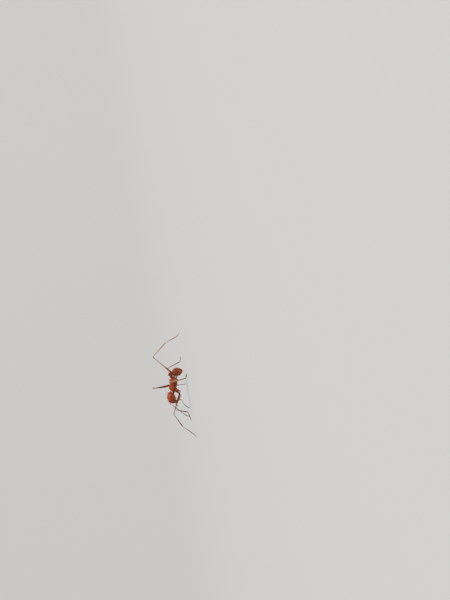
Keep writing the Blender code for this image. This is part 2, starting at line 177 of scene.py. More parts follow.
def closedShell(grid, tone):
    # quads join each ring of the grid with the next, and a fan to its middle closes each end
    rings, sides = grid.shape[:2]
    index = np.arange(rings * sides).reshape(rings, sides)
    fans = np.vstack([fan(index[0], rings * sides)[:, (1, 0, 2)], fan(index[-1], rings * sides + 1)])
    places = np.vstack([grid.reshape(-1, 3), grid[0].mean(axis=0), grid[-1].mean(axis=0)])
    tones = np.broadcast_to(tone, (rings, sides))
    tones = np.concatenate([tones.ravel(), [tones[0].mean(), tones[-1].mean()]])
    return facedOut(places, gridQuads(index), fans, tones)


def ringShell(grid, tone):
    # quads join each ring of the grid with the next, and the last with the first
    rings, sides = grid.shape[:2]
    index = np.arange(rings * sides).reshape(rings, sides)
    quads = gridQuads(np.vstack([index, index[:1]]))
    return facedOut(grid.reshape(-1, 3), quads, np.zeros((0, 3), int), np.full(rings * sides, tone))


def intoScene(name, data):
    # a new object for the data, in the scene
    made = bpy.data.objects.new(name, data)
    bpy.context.scene.collection.objects.link(made)
    return made


def addPiece(name, places, faces, tones, finish):
    # a mesh in the row frame, with the tone of each point, that rides on the one body
    mesh = bpy.data.meshes.new(name)
    mesh.from_pydata(toWorld(aboveFloor(places)).tolist(), [], faces)
    tone = mesh.attributes.new("tone", "FLOAT", "POINT")
    tone.data.foreach_set("value", tones.astype(np.float32))
    mesh.shade_smooth()
    mesh.materials.append(finishes[finish])
    piece = intoScene(name, mesh)
    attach(piece, "root")
    return piece


def addShells(name, shells, finish, nodes=()):
    # joins closed shells into one piece, which stands for its nodes
    places = np.vstack([shell["places"] for shell in shells])
    tones = np.concatenate([shell["tones"] for shell in shells])
    faces, count = [], 0
    for shell in shells:
        faces += (shell["quads"] + count).tolist() + (shell["fans"] + count).tolist()
        count += len(shell["places"])
    piece = addPiece(name, places, faces, tones, finish)
    if nodes:
        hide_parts(*nodes)


def addPart(node, ending, grid, tone, finish, slot, extras=()):
    # keeps the surface, and adds the piece that stands for the node, named from it
    grids[node] = grid
    first, *rest = node.split("_")
    name = first + "".join(word.title() for word in rest) + ending
    addShells(name, [closedShell(grid, tone), *extras], finish, [node])


def tube(path, wide, tall=None, sides=24, lean=skyward):
    # an ellipse round each point of a path, wide across it and tall over it
    along = unit(np.gradient(path, axis=0))
    across = unit(np.cross(along, np.broadcast_to(unit(lean), along.shape)))
    over = np.cross(across, along)
    angle = fullTurn(sides)[None, :, None]
    wide = wide[:, None, None]
    tall = wide if tall is None else tall[:, None, None]
    return path[:, None] + wide * np.cos(angle) * across[:, None] + tall * np.sin(angle) * over[:, None]


limbLook = {"even": 0.45, "crowded": 0.55, "closes": 0.02, "widens": (1, 0, 0.85),
            "steep": 0.85, "steepLean": (0.0, 1.0, 0.1)}


def evenEnds(count):
    # shares from 0 to 1 that crowd at both ends, where a limb rounds off
    t = np.linspace(0, 1, count)
    return limbLook["even"] * t + limbLook["crowded"] * (1 - np.cos(np.pi * t)) / 2


def roundOff(share, length, run):
    # a quarter circle over the run at each end, so that the limb closes in a dome
    e = np.clip(np.minimum(share, 1 - share) * length / run, 0.0, 1.0)
    return np.sqrt(np.clip(1 - (1 - e) ** 2, limbLook["closes"] ** 2, 1.0))


def straight(start, end, share, bow=0.0):
    # a line from start to end that rises by a half sine of the bow
    return start + (end - start) * share[:, None] + bow * np.sin(np.pi * share)[:, None] * skyward


def bezier(a, b, c, share):
    # a curve from a to c that is drawn towards b
    s = share[:, None]
    return (1 - s) ** 2 * np.asarray(a) + 2 * s * (1 - s) * np.asarray(b) + s ** 2 * np.asarray(c)


def segmented(share, joints, low, high, depth, width):
    # each segment widens from low to high, with a dip of the given depth at each joint
    edges = np.array([0.0, *joints, 1.0])
    k = np.clip(np.searchsorted(edges, share, side="right") - 1, 0, len(joints))
    local = (share - edges[k]) / (edges[k + 1] - edges[k])
    dips = np.sum([bell(share - joint, width) for joint in joints], axis=0)
    return (low + (high - low) * ramp(limbLook["widens"], local)) * (1 - depth * dips)


thorn = {"buried": 0.12, "taper": 0.85, "cone": 0.62, "flare": (0.75, 0.1), "point": 0.004,
         "rings": 26, "sides": 18, "lean": (0.3, 0.9, 0.1), "tone": 0.52, "darkTip": (0.5, 0.35, 0.55)}


def spineShell(root, tip, radius):
    # a cone whose foot flares like a trumpet into the plate, dark towards its tip
    share = np.linspace(0, 1, thorn["rings"])
    start = root - thorn["buried"] * (tip - root)
    path = bezier(start, (start + tip) / 2, tip, share)
    size = (1 - share) ** thorn["taper"] * thorn["cone"] + decay(thorn["flare"], share)
    grid = tube(path, radius * size + thorn["point"], sides=thorn["sides"], lean=thorn["lean"])
    return closedShell(grid, (thorn["tone"] - ramp(thorn["darkTip"], share))[:, None])


def spinePair(toAnt, root, tip, radius):
    # a spine on the left and its mirror image on the right
    mirrors = (np.array([1, side, 1]) for side in (1, -1))
    return [spineShell(toAnt(root * mirror), toAnt(tip * mirror), radius) for mirror in mirrors]


class Wire:  # a shader socket that can stand in sums
    def __init__(self, finish, socket):
        self.finish = finish
        self.socket = socket

    def sum(self, operation, first, second):
        return self.finish.node("ShaderNodeMath", {"operation": operation}, {0: first, 1: second})

    def __add__(self, other):
        return self.sum("ADD", self, other)

    def __sub__(self, other):
        return self.sum("SUBTRACT", self, other)

    def __rsub__(self, other):
        return self.sum("SUBTRACT", other, self)

    def __mul__(self, other):
        return self.sum("MULTIPLY", self, other)

    __radd__ = __add__
    __rmul__ = __mul__


class Finish:  # a material whose nodes are added one by one
    def __init__(self, name):
        self.material = bpy.data.materials.new(name)
        self.material.use_nodes = True
        self.tree = self.material.node_tree
        self.shader = self.tree.nodes["Principled BSDF"]

    def plug(self, socket, value):
        # a link where the value comes from another node, or else the value itself
        if isinstance(value, Wire):
            self.tree.links.new(value.socket, socket)
        else:
            socket.default_value = value

    def node(self, kind, settings=None, sockets=None, output=0):
        # a node with its settings first and its sockets after, and the output that is used
        made = self.tree.nodes.new(kind)
        for key, value in (settings or {}).items():
            if key == "stops":  # the first two are the ramp's own ends
                own = made.color_ramp.elements
                for index, (place, colour) in enumerate(value):
                    stop = own[index] if index < 2 else own.new(place)
                    stop.position, stop.color = place, colour
            else:
                setattr(made, key, value)
        for key, value in (sockets or {}).items():
            self.plug(made.inputs[key], value)
        return Wire(self, made.outputs[output])

    def objectPlace(self):
        # the piece's own place in millimetres
        place = self.node("ShaderNodeTexCoord", output=3)
        return self.node("ShaderNodeMapping", {}, {"Vector": place, "Scale": (1000, 1000, 1000)})

    def noise(self, place, scale, detail):
        # patches of noise, scale of them to a millimetre
        return self.node("ShaderNodeTexNoise", {}, {"Vector": place, "Scale": scale, "Detail": detail})

    def mix(self, share, first, second):
        # the first colour where the share is 0, and the second where it is 1
        return self.node("ShaderNodeMix", {"data_type": "RGBA"}, {0: share, 6: first, 7: second}, 2)

    def set(self, values):
        # the sockets of the shader itself
        for key, value in values.items():
            self.plug(self.shader.inputs[key], value)


shellLooks = {
    # colours of dark joints and tips, shaded, plain and lit shell, and the relief in metres
    "bodyShell": {
        "stops": ((0.01, 0.002, 0.001), (0.062, 0.007, 0.0015), (0.19, 0.02, 0.002),
                 (0.46, 0.075, 0.004)),
        "rough": 0.43, "pits": 27.0, "relief": 0.000007, "mottle": 0.46},
    "gasterShell": {
        "stops": ((0.01, 0.002, 0.001), (0.06, 0.006, 0.0015), (0.175, 0.017, 0.002),
                 (0.43, 0.066, 0.004)),
        "rough": 0.4, "pits": 30.0, "relief": 0.000006, "mottle": 0.42},
    "limbShell": {
        "stops": ((0.012, 0.003, 0.002), (0.048, 0.008, 0.002), (0.15, 0.032, 0.006),
                 (0.56, 0.26, 0.06)),
        "rough": 0.4, "pits": 34.0, "relief": 0.000005, "mottle": 0.26},
    "feelerShell": {
        "stops": ((0.008, 0.002, 0.0015), (0.026, 0.005, 0.002), (0.085, 0.016, 0.004),
                 (0.3, 0.095, 0.025)),
        "rough": 0.44, "pits": 34.0, "relief": 0.000005, "mottle": 0.26},
    "jawShell": {
        "stops": ((0.006, 0.003, 0.002), (0.03, 0.008, 0.004), (0.085, 0.024, 0.01),
                 (0.22, 0.1, 0.055)),
        "rough": 0.34, "pits": 20.0, "relief": 0.000005, "mottle": 0.36},
    "hair": {
        "stops": ((0.07, 0.026, 0.008), (0.28, 0.13, 0.04), (0.52, 0.3, 0.11),
                 (0.76, 0.56, 0.28)),
        "rough": 0.45, "pits": 40.0, "relief": 0.000002, "mottle": 0.3},
}
mottling = {
    # scale and detail of each noise, where the stops lie, and how far each pattern moves the tone
    "broad": (1.6, 4.0), "grain": (19.0, 5.0), "streaks": (5.5, 3.0), "stopsAt": (0.0, 0.3, 0.62, 1.0),
    "streakTone": 0.26, "grainTone": 0.2, "pitTone": 0.14, "lift": 0.05,
    # how far grain and pits move the roughness, and what the bump is made of
    "grainGloss": 0.22, "pitGloss": 0.08, "bumpGrain": 0.7, "bump": 0.85,
}
shellGloss = {"IOR": 1.52, "Specular IOR Level": 0.28, "Coat Weight": 0.05, "Coat Roughness": 0.24,
              "Subsurface Weight": 0.06, "Subsurface Scale": 0.0002,
              "Subsurface Radius": (1.0, 0.32, 0.12)}
eyeLook = {"dark": (0.004, 0.003, 0.003, 1), "brown": (0.03, 0.012, 0.008, 1), "patches": (9.0, 2.0),
           "rough": 0.2, "sway": 0.16, "gloss": {"IOR": 1.5, "Specular IOR Level": 0.3}}


def shellFinish(name):
    # tone along the piece, mottled at three sizes, picks the colour; pits and grain are the relief
    look = shellLooks[name]
    finish = Finish(name)
    place = finish.objectPlace()
    tone = finish.node("ShaderNodeAttribute", {"attribute_name": "tone"}, output=2)
    sizes = ("broad", "grain", "streaks")
    broad, grain, streaks = (finish.noise(place, *mottling[size]) for size in sizes)
    pits = finish.node("ShaderNodeTexVoronoi", {"feature": "SMOOTH_F1"},
                       {"Vector": place, "Scale": look["pits"]})
    mottled = (tone + (broad - 0.5) * look["mottle"] + (streaks - 0.5) * mottling["streakTone"]
               + (grain - 0.5) * mottling["grainTone"] - pits * mottling["pitTone"] + mottling["lift"])
    places = zip(mottling["stopsAt"], look["stops"])
    dark, shaded, plain, lit = ((at, (*colour, 1.0)) for at, colour in places)
    colour = finish.node("ShaderNodeValToRGB", {"stops": (dark, lit, shaded, plain)}, {0: mottled})
    dents = finish.node("ShaderNodeBump", {}, {"Height": pits + grain * mottling["bumpGrain"],
                                               "Strength": mottling["bump"], "Distance": look["relief"]})
    rough = look["rough"] + (grain - 0.5) * mottling["grainGloss"] + pits * mottling["pitGloss"]
    finish.set({"Base Color": colour, "Roughness": rough, "Normal": dents, **shellGloss})
    return finish.material


def eyeFinish():
    # near black, with a faint brown cast in patches and a soft gloss
    finish = Finish("eyeLens")
    grain = finish.noise(finish.objectPlace(), *eyeLook["patches"])
    finish.set({"Base Color": finish.mix(grain, eyeLook["dark"], eyeLook["brown"]),
                "Roughness": grain * eyeLook["sway"] + eyeLook["rough"], **eyeLook["gloss"]})
    return finish.material


finishes = {name: shellFinish(name) for name in shellLooks}
finishes["eye"] = eyeFinish()
print("finishes made")

# Head: a heart, with relief drawn on the face
head = {
    "place": (2.72, 0.05, 3.74), "yaw": 6.0, "pitch": 11.0, "roll": 8.0,
    "half": (1.36, 1.45, 1.08), "roundness": 0.84, "notch": (0.36, 0.46),
    "rearFlare": 0.06, "mouthTaper": 0.2, "faceTaper": 0.1, "mouthDrop": 0.1,
    "throat": (0.8, 0.12), "lobeAt": (0.62, 0.4), "lobeSpread": (0.34, 0.17), "lobeRise": 0.13,
    "rings": 216, "sides": 320, "pole": 0.02,
    "spines": (((-1.0, 0.92, 0.38), (-1.42, 1.16, 0.72), 0.15),
               ((-0.1, 0.7, 0.86), (-0.2, 0.84, 1.2), 0.12)),
    # marks: height, half width, low and high end (-9 for none), and the run at each end
    "keel": (0.06, 0.038, -0.6, 0.95, 0.5, 0.2), "scrobe": (-0.03, 0.085, -0.3, 0.75, 0.5, 0.2),
    "midline": (-0.02, 0.024, -0.95, 0.72, 0.3, 0.2), "plateEdge": (-0.03, 0.026, -9, 0.95, 1, 0.1),
    "cheek": (0.036, 0.04, 0.42, 1.15, 0.2, 0.2), "throatLine": (-0.024, 0.028, -9, -0.3, 1, 0.2),
    "ridges": (0.011, 0.5, -9, -0.75, 1, 0.3), "ridgeTurns": 46,
    # where they lie; a ramp is its amount, start and run, and a bump its amount, middle and width
    "face": (1, -0.05, 0.35), "keelAt": 0.46, "keelSpread": (0.4, -0.75, 1.3), "scrobeOut": 0.16,
    "plateAt": 0.76, "plateBend": (0.36, 0, 0.7), "plateStep": (0.026, 0, 0.1),
    "cheekAt": (0.16, 0.1), "pit": (0.085, 0, 0.12), "pitRim": (0.046, 0.19, 0.04),
    # noises: height, cell and seed
    "wrinkles": (0.0085, (0.34, 0.055, 0.055), 5), "wrinkleFace": (0.65, 0.35),
    "grain": (0.0035, 0.045, 3),
    # tones: painted light on the crown and at the rear, darker at the mouth, painted shade in the feeler
    # pits, and painted shade in hollows with painted highlight on ridges
    "tone": 0.56, "crownPaintedLight": (0.16, 0, 0.9), "mouthTone": (0.1, 0.8, 0.5),
    "rearPaintedLight": (0.08, 0.2, 1.0), "pitTone": (0.42, 0, 0.13), "hollowShadeRidgeLight": (2.6, -0.09, 0.05),
}
headTurn = turnMatrix(head["yaw"], head["pitch"], head["roll"])


def headToAnt(points):
    # from the head's own axes to the ant's
    return np.asarray(points, float) @ headTurn.T + np.asarray(head["place"])


def headSkin(back, around):
    # an ellipsoid in two angles, fuller where the sine has a power below one; it narrows towards
    # the mouth, a bell cuts the cleft at the rear, and two bells raise the lobes on the face
    length, width, height = head["half"]
    ahead, ring = np.cos(back), np.sin(back) ** head["roundness"]
    side, rise = np.cos(around), np.sin(around)
    rear, front = smooth(-ahead), smooth(ahead)
    left = width * ring * side * (1 + head["rearFlare"] * rear - head["mouthTaper"] * front)
    up = height * ring * rise * (1 - head["faceTaper"] * front)
    up = np.where(rise < 0, up * (head["throat"][0] - head["throat"][1] * rear), up)
    forward = length * ahead + head["notch"][0] * rear * bell(left, head["notch"][1])
    lobes = (bell(forward - head["lobeAt"][0], head["lobeSpread"][0])
             * bell(np.abs(left) - head["lobeAt"][1], head["lobeSpread"][1]))
    up = up + head["lobeRise"] * lobes * (rise > 0) - head["mouthDrop"] * front * front
    return np.stack([forward, left, up], axis=-1)


def hollowShadeRidgeLight(row, relief):
    # painted shade in hollows and painted highlight on ridges, within limits
    gain, lowest, highest = row
    return gain * np.clip(relief, lowest, highest)


def headRelief(skin, sockets):
    # the marks in turn, a raised face plate ahead of its edge, feeler pits with rims, and noise
    forward, left, up = np.moveaxis(skin, -1, 0)
    aside = np.abs(left)
    face = ramp(head["face"], up)
    fromKeel = aside - head["keelAt"] - ramp(head["keelSpread"], -forward)
    ahead = forward - head["plateAt"] - ramp(head["plateBend"], aside)
    out = face * (mark(head["keel"], fromKeel, forward) + mark(head["midline"], aside, forward)
                  + mark(head["scrobe"], fromKeel - head["scrobeOut"], forward)
                  + mark(head["plateEdge"], ahead, aside) + ramp(head["plateStep"], ahead))
    cheekAt, slant = head["cheekAt"]
    out = out + mark(head["cheek"], up - cheekAt - slant * forward, forward)
    out = out + mark(head["throatLine"], aside, up)
    out = out + mark(head["ridges"], aside, forward) * np.sin(up * head["ridgeTurns"])
    for socket in sockets:
        distance = np.linalg.norm(skin - socket, axis=-1)
        out = out + bump(head["pitRim"], distance) - bump(head["pit"], distance)
    least, more = head["wrinkleFace"]
    wrinkles = latticeNoise(skin, head["wrinkles"]) * (least + more * face)
    return out + wrinkles + latticeNoise(skin, head["grain"])


def headTone(skin, relief, sockets):
    # painted light on the crown and behind, darker at the mouth, painted shade in the feeler pits, and
    # painted shade in the hollows with painted highlight on the ridges
    forward, _, up = np.moveaxis(skin, -1, 0)
    tone = (head["tone"] + ramp(head["crownPaintedLight"], up) + ramp(head["rearPaintedLight"], -forward)
            - ramp(head["mouthTone"], forward) + hollowShadeRidgeLight(head["hollowShadeRidgeLight"], relief))
    # painted shade in each feeler pit
    for socket in sockets:
        tone = tone - bump(head["pitTone"], np.linalg.norm(skin - socket, axis=-1))
    return tone


feelers = {
    "left": {"root": (3.86, 0.7, 4.44), "elbow": (4.5, 2.6, 1.84), "middle": (6.2, 3.25, 1.32),
             "tip": (7.3, 4.0, 0.4)},
    "right": {"root": (3.78, -0.62, 4.46), "elbow": (4.5, -2.46, 2.84), "middle": (5.55, -3.2, 1.7),
              "tip": (6.0, -4.1, 0.6)},
}
eye = {"at": (72.0, 12.0), "half": (0.19, 0.15, 0.16), "facet": 0.03, "facetRise": 0.003,
       "rings": 60, "sides": 72, "pole": 0.03, "sunk": 0.02, "step": 0.02,
       "rim": 0.026, "rimOut": 1.05, "rimSides": 12, "rimTone": 0.3, "tone": 0.5}


def eyeShells(side):
    # a flat egg sunk to its middle in the head, a honeycomb of low facets on it, and its rim
    back, up = np.radians(eye["at"])
    angles = np.array([[back, up], [back + eye["step"], up], [back, up + eye["step"]]])
    angles[:, 1] = np.where(side > 0, angles[:, 1], np.pi - angles[:, 1])
    here, further, higher = headToAnt(headSkin(angles[:, 0], angles[:, 1]))
    along = unit(further - here)
    out = unit(np.cross(along, higher - here))
    out = out * np.sign(np.dot(out, here - np.array(head["place"])))
    across = np.cross(out, along)
    tilt = np.linspace(eye["pole"], np.pi - eye["pole"], eye["rings"])[:, None]
    turn = fullTurn(eye["sides"])[None, :]
    x, y, z = np.sin(tilt) * np.cos(turn), np.sin(tilt) * np.sin(turn), np.cos(tilt) + 0 * turn
    length, width, depth = eye["half"]
    # three waves, a third of a turn apart, make the honeycomb
    k = 2 * np.pi / eye["facet"]
    comb = (np.cos(k * x * length) + np.cos(k * (0.5 * x * length + 0.866 * y * width))
            + np.cos(k * (0.5 * x * length - 0.866 * y * width))) / 3
    lift = 1 + eye["facetRise"] / depth * comb
    lens = (here + (x * length * lift)[..., None] * along + (y * width * lift)[..., None] * across
            + (z * depth * lift - eye["sunk"])[..., None] * out)
    # the rim is a tube round the eye, whose last ring joins its first
    spoke = np.cos(turn.T) * along * length + np.sin(turn.T) * across * width
    small = fullTurn(eye["rimSides"])[None, :, None]
    rim = (here + spoke[:, None] * (eye["rimOut"] + eye["rim"] / width * np.cos(small))
           + eye["rim"] * np.sin(small) * out)
    return closedShell(lens, eye["tone"]), ringShell(rim, eye["rimTone"])


headBase = headSkin(np.linspace(head["pole"], np.pi - head["pole"], head["rings"])[:, None],
                    fullTurn(head["sides"])[None, :])
flatBase = headBase.reshape(-1, 3)
sockets = []
for feeler in feelers.values():
    own = (np.array(feeler["root"]) - np.array(head["place"])) @ headTurn
    nearest = flatBase[np.argmin(np.linalg.norm(flatBase - own, axis=1))]
    feeler["socket"] = headToAnt(nearest)
    sockets.append(nearest)
relief = headRelief(headBase, sockets)
extras = [shell for spine in head["spines"] for shell in spinePair(headToAnt, *spine)]
for side, word in ((1, "left"), (-1, "right")):
    lens, rim = eyeShells(side)
    extras.append(rim)
    addShells("eye" + word.title(), [lens], "eye", ["eye_" + word])
addPart("head", "Capsule", headToAnt(raised(headBase, relief)), headTone(headBase, relief, sockets),
        "bodyShell", "body_shell", extras)
print("head and eyes made")

jaw = {
    "hinge": (1.17, 0.74), "bow": (2.05, 0.86), "point": (2.5, 0.06), "heel": (1.39, 0.22),
    "bite": (2.44, 0.0), "spread": 3.0, "starts": -0.05, "rings": 170, "sides": 40,
    "teeth": 8, "tooth": (0.02, -0.1), "crowding": 1.15, "sharpness": 1.3, "closing": (1, 0.92, 0.08),
    "blunt": 0.02,
    "thick": (0.3, 0.12), "thinning": 0.72, "hang": (-0.34, -0.54), "grooveTurns": 46,
    "groove": (0.006, -0.9, 0.3),
    "tone": 0.62, "biteTone": 0.35, "tipTone": (0.28, 0.55, 0.4),
}


def jawSurface():
    # a blade between a bowed outer edge and a toothed inner one, thick outside and thin inside
    share = np.linspace(jaw["starts"], 1, jaw["rings"])[:, None]
    hinge, heel, bite = (np.array(jaw[key]) for key in ("hinge", "heel", "bite"))
    outer = bezier(hinge, jaw["bow"], jaw["point"], share[:, 0])
    beat = np.clip(share, 0, 1) ** jaw["crowding"] * jaw["teeth"]
    saw = (1 - np.abs(2 * (beat % 1) - 1)) ** jaw["sharpness"]
    edge = heel * (1 - share) + bite * share + saw * (1 + share) / 2 * np.array(jaw["tooth"])
    spin = turnMatrix(jaw["spread"])[:2, :2].T
    outer, edge = (outer - hinge) @ spin + hinge, (edge - hinge) @ spin + hinge
    angle = fullTurn(jaw["sides"])[None, :]
    inward = (1 - np.cos(angle)) / 2
    closing = np.sqrt(np.clip(1 - ramp(jaw["closing"], share) ** 2, jaw["blunt"], 1))
    (thick, thin), (high, low) = jaw["thick"], jaw["hang"]
    half = (thick + (thin - thick) * share) / 2 * closing
    hang = high + (low - high) * share ** 2
    plan = outer[:, None] + (edge - outer)[:, None] * inward[..., None]
    grooves = ramp(jaw["groove"], -inward) * np.sin(inward * jaw["grooveTurns"]) * np.sin(angle)
    rise = hang + half * np.sin(angle) * (1 - jaw["thinning"] * inward) + grooves
    tone = jaw["tone"] - jaw["biteTone"] * inward - ramp(jaw["tipTone"], share)
    return np.concatenate([plan, rise[..., None]], axis=-1), tone


blade, bladeTone = jawSurface()
for side, word in ((1, "left"), (-1, "right")):
    addPart("mandible_" + word, "", headToAnt(blade * (1, side, 1)), bladeTone, "jawShell", "jaw")
print("mandibles made")

mouth = {
    # middle and half axes of each plate: upper lip, under lip, tongue, left and right cheek plates
    "plates": (((1.34, 0.0, -0.3), (0.13, 0.25, 0.06)), ((1.06, 0.0, -0.6), (0.32, 0.2, 0.15)),
               ((1.38, 0.0, -0.6), (0.1, 0.07, 0.05)), ((1.16, 0.24, -0.56), (0.26, 0.1, 0.11)),
               ((1.16, -0.24, -0.56), (0.26, 0.1, 0.11))),
    "plateTone": 0.55, "plateRings": 24, "plateSides": 32, "pole": 0.05,
    # root, middle and tip of the left one of each pair of palps, and its joints
    "palps": (((1.24, 0.27, -0.62), (1.42, 0.4, -0.74), (1.56, 0.3, -0.86), (0.25, 0.45, 0.62, 0.8)),
              ((1.3, 0.09, -0.68), (1.42, 0.14, -0.8), (1.55, 0.1, -0.88), (0.35, 0.62))),
    "palpRadius": 0.034, "palpEnds": (0.45, 0.04), "palpBeads": (0.8, 1.0, 0.35, 0.02),
    "palpTone": 0.6, "palpRings": 60, "palpSides": 14,
}


def eggShell(middle, half):
    # an ellipsoid on the head's axes, in two angles
    tilt = np.linspace(mouth["pole"], np.pi - mouth["pole"], mouth["plateRings"])[:, None]
    turn = fullTurn(mouth["plateSides"])[None, :]
    ball = [np.cos(tilt) + 0 * turn, np.sin(tilt) * np.cos(turn), np.sin(tilt) * np.sin(turn)]
    return closedShell(headToAnt(np.array(middle) + np.stack(ball, axis=-1) * half), mouth["plateTone"])


mouthShells = [eggShell(middle, half) for middle, half in mouth["plates"]]
share = evenEnds(mouth["palpRings"])
for root, middle, tip, joints in mouth["palps"]:
    radii = mouth["palpRadius"] * roundOff(share, *mouth["palpEnds"])
    radii = radii * segmented(share, joints, *mouth["palpBeads"])
    for side in (1, -1):
        path = headToAnt(bezier(root, middle, tip, share) * (1, side, 1))
        mouthShells.append(closedShell(tube(path, radii, sides=mouth["palpSides"]), mouth["palpTone"]))
addShells("mouthParts", mouthShells, "feelerShell")
print("mouth made")

# Stalks: feelers and legs, each a tube with its own tables
legLook = {"finish": "limbShell", "slot": "limb_shell", "sides": 28}
feelerLook = {"finish": "feelerShell", "slot": "limb_shell", "sides": 24}
stalks = {
    # radii as rows of share and radius, and dark bands as depth, place and half width
    "scape": {
        "radii": ((0.0, 0.064), (0.05, 0.106), (0.12, 0.074), (0.45, 0.1), (0.88, 0.13),
                  (1.0, 0.108)),
        "rings": 110, "length": 2.8, "round": 0.09, "tone": 0.58,
        "bands": ((0.42, 0, 0.06), (0.32, 1, 0.05)), **feelerLook},
    "funiculus": {
        "radii": ((0.0, 0.086), (0.35, 0.098), (0.75, 0.124), (0.92, 0.122), (1.0, 0.07)),
        "rings": 300, "length": 4.1, "round": 0.1, "tone": 0.42, "bands": (),
        "joints": (0.11, 0.18, 0.255, 0.335, 0.42, 0.51, 0.605, 0.705, 0.81),
        "beads": (0.86, 1.08, 0.36, 0.007), "jointBand": (0.24, 0.01), **feelerLook},
    "coxa": {
        "radii": ((0.0, 0.26), (0.25, 0.295), (0.6, 0.235), (0.88, 0.15), (1.0, 0.125)),
        "rings": 60, "round": 0.16, "bow": 0.0, "tone": 0.55,
        "bands": ((0.25, 0, 0.1), (0.42, 1, 0.1)),
        "finish": "bodyShell", "slot": "body_shell", "sides": 40},
    "femur": {
        "radii": ((0.0, 0.1), (0.03, 0.148), (0.056, 0.092), (0.1, 0.142), (0.27, 0.222),
                  (0.58, 0.172), (0.88, 0.122), (0.955, 0.15), (1.0, 0.118)),
        "rings": 130, "round": 0.12, "bow": 0.05, "tone": 0.38, "paling": (0.2, 0.1, 0.45),
        "bands": ((0.26, 0.058, 0.02), (0.34, 1, 0.04)), **legLook},
    "tibia": {
        "radii": ((0.0, 0.08), (0.026, 0.108), (0.075, 0.074), (0.14, 0.1), (0.4, 0.132),
                  (0.74, 0.162), (0.94, 0.152), (1.0, 0.115)),
        "rings": 110, "round": 0.1, "bow": -0.025, "tone": 0.58,
        "bands": ((0.45, 0, 0.06), (0.3, 1, 0.04)), **legLook},
    "tarsus": {
        "radii": ((0.0, 0.084), (0.1, 0.104), (0.48, 0.116), (0.75, 0.106), (1.0, 0.082)),
        "rings": 220, "round": 0.08, "tone": 0.5, "bands": ((0.3, 0, 0.04),),
        "joints": (0.5, 0.63, 0.74, 0.83), "beads": (0.84, 1.1, 0.42, 0.009),
        "jointBand": (0.22, 0.014), **legLook, "sides": 24},
}
everywhere = (0.0, -1.0, 1.0)  # a paling that is full from end to end


def addStalk(kind, where, path, length, pale=0.0, lean=skyward, extras=()):
    # radius and tone run through the tables of the kind, less its dark bands, and its ends round
    look = stalks[kind]
    share = evenEnds(look["rings"])
    radii = throughRows(look["radii"], share)[:, 0] * roundOff(share, length, look["round"])
    gain, *span = look.get("paling", everywhere)
    bands = list(look["bands"])
    if "joints" in look:
        radii = radii * segmented(share, look["joints"], *look["beads"])
        depth, width = look["jointBand"]
        bands += [(depth, joint, width) for joint in look["joints"]]
    tone = look["tone"] + ramp((gain + pale, *span), share) - sum(bump(band, share) for band in bands)
    grid = aboveFloor(tube(path, radii, sides=look["sides"], lean=lean))
    addPart(kind + "_" + where, "", grid, tone[:, None], look["finish"], look["slot"], extras)


# how far, where and how widely the scape swings from its pit towards its root, and its bow
scapeBend = {"swing": (0.53, 0.16, 0.2), "bow": 0.1}
funicularPaling = 0.06
for word, feeler in feelers.items():
    root, elbow, middle, tip = (np.array(feeler[key]) for key in ("root", "elbow", "middle", "tip"))
    socket = feeler["socket"]
    share = evenEnds(stalks["scape"]["rings"])
    path = straight(socket, elbow, share, scapeBend["bow"])
    path = path + bump(scapeBend["swing"], share)[:, None] * (root - socket)
    addStalk("scape", word, path, stalks["scape"]["length"])
    share = evenEnds(stalks["funiculus"]["rings"])
    path = bezier(elbow, middle * 2 - (elbow + tip) / 2, tip, share)
    addStalk("funiculus", word, path, stalks["funiculus"]["length"], funicularPaling * share)
print("feelers made")

